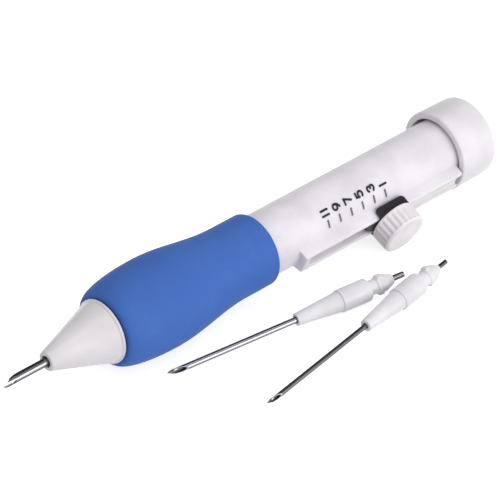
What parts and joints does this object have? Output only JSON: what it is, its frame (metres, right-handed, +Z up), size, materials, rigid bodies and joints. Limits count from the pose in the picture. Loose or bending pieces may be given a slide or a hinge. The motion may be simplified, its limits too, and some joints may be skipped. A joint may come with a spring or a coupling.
{
  "type": "adjustable punch needle pen",
  "caption": "Punch needle embroidery pen with a soft grip, a side knob that slides in a rail to set the loop height, an end cap and spare hollow needles beside it.",
  "frame": {"origin": "on the table, under the middle of the whole set's bounding box", "axes": "+X along the pen from the needle's tip to the end cap, +Z up from the table, -Y to the side of the knob and the spare needles"},
  "size_m": [0.157, 0.0486, 0.0242],
  "materials": {
    "white_plastic": "satin white",
    "blue_grip": "soft matte blue",
    "natural_plastic": "natural nylon",
    "dark_plastic": "matte black",
    "needle_steel": "bright nickel plate",
    "zinc_steel": "zinc plated"
  },
  "bodies": {
    "pen_body": {"barrel": "white_plastic", "nose_cone": "white_plastic", "grip_sleeve": "blue_grip", "spare_medium_tube": "needle_steel", "spare_medium_hub": "white_plastic", "spare_fine_tube": "needle_steel", "spare_fine_hub": "white_plastic"},
    "cap": {"end_cap": "white_plastic"},
    "carrier": {"needle_carrier": "natural_plastic", "clamp_nut": "zinc_steel", "saddle_plate": "dark_plastic"},
    "needle": {"needle_tube": "needle_steel", "needle_hub": "white_plastic"},
    "knob": {"thumb_knob": "white_plastic", "knob_stud": "zinc_steel"}
  },
  "joints": [
    {"name": "depth_slide", "type": "slide", "parent": "pen_body", "child": "carrier", "axis": [-0.9999, 0, 0.0129], "range_m": [0, 0.0197]},
    {"name": "needle_turn", "type": "hinge", "parent": "carrier", "child": "needle", "pos_m": [-0.01849, 0.01224, 0.01195], "axis": [0.9999, 0, -0.0129], "range_deg": [0, 90]},
    {"name": "knob_turn", "type": "hinge", "parent": "carrier", "child": "knob", "pos_m": [0.04111, 0.00141, 0.00732], "axis": [-0.0043, -0.9419, -0.3359], "range_deg": [0, 360]},
    {"name": "cap_pull", "type": "slide", "parent": "pen_body", "child": "cap", "axis": [0.9999, 0, -0.0129], "range_m": [0, 0.01]}
  ]
}
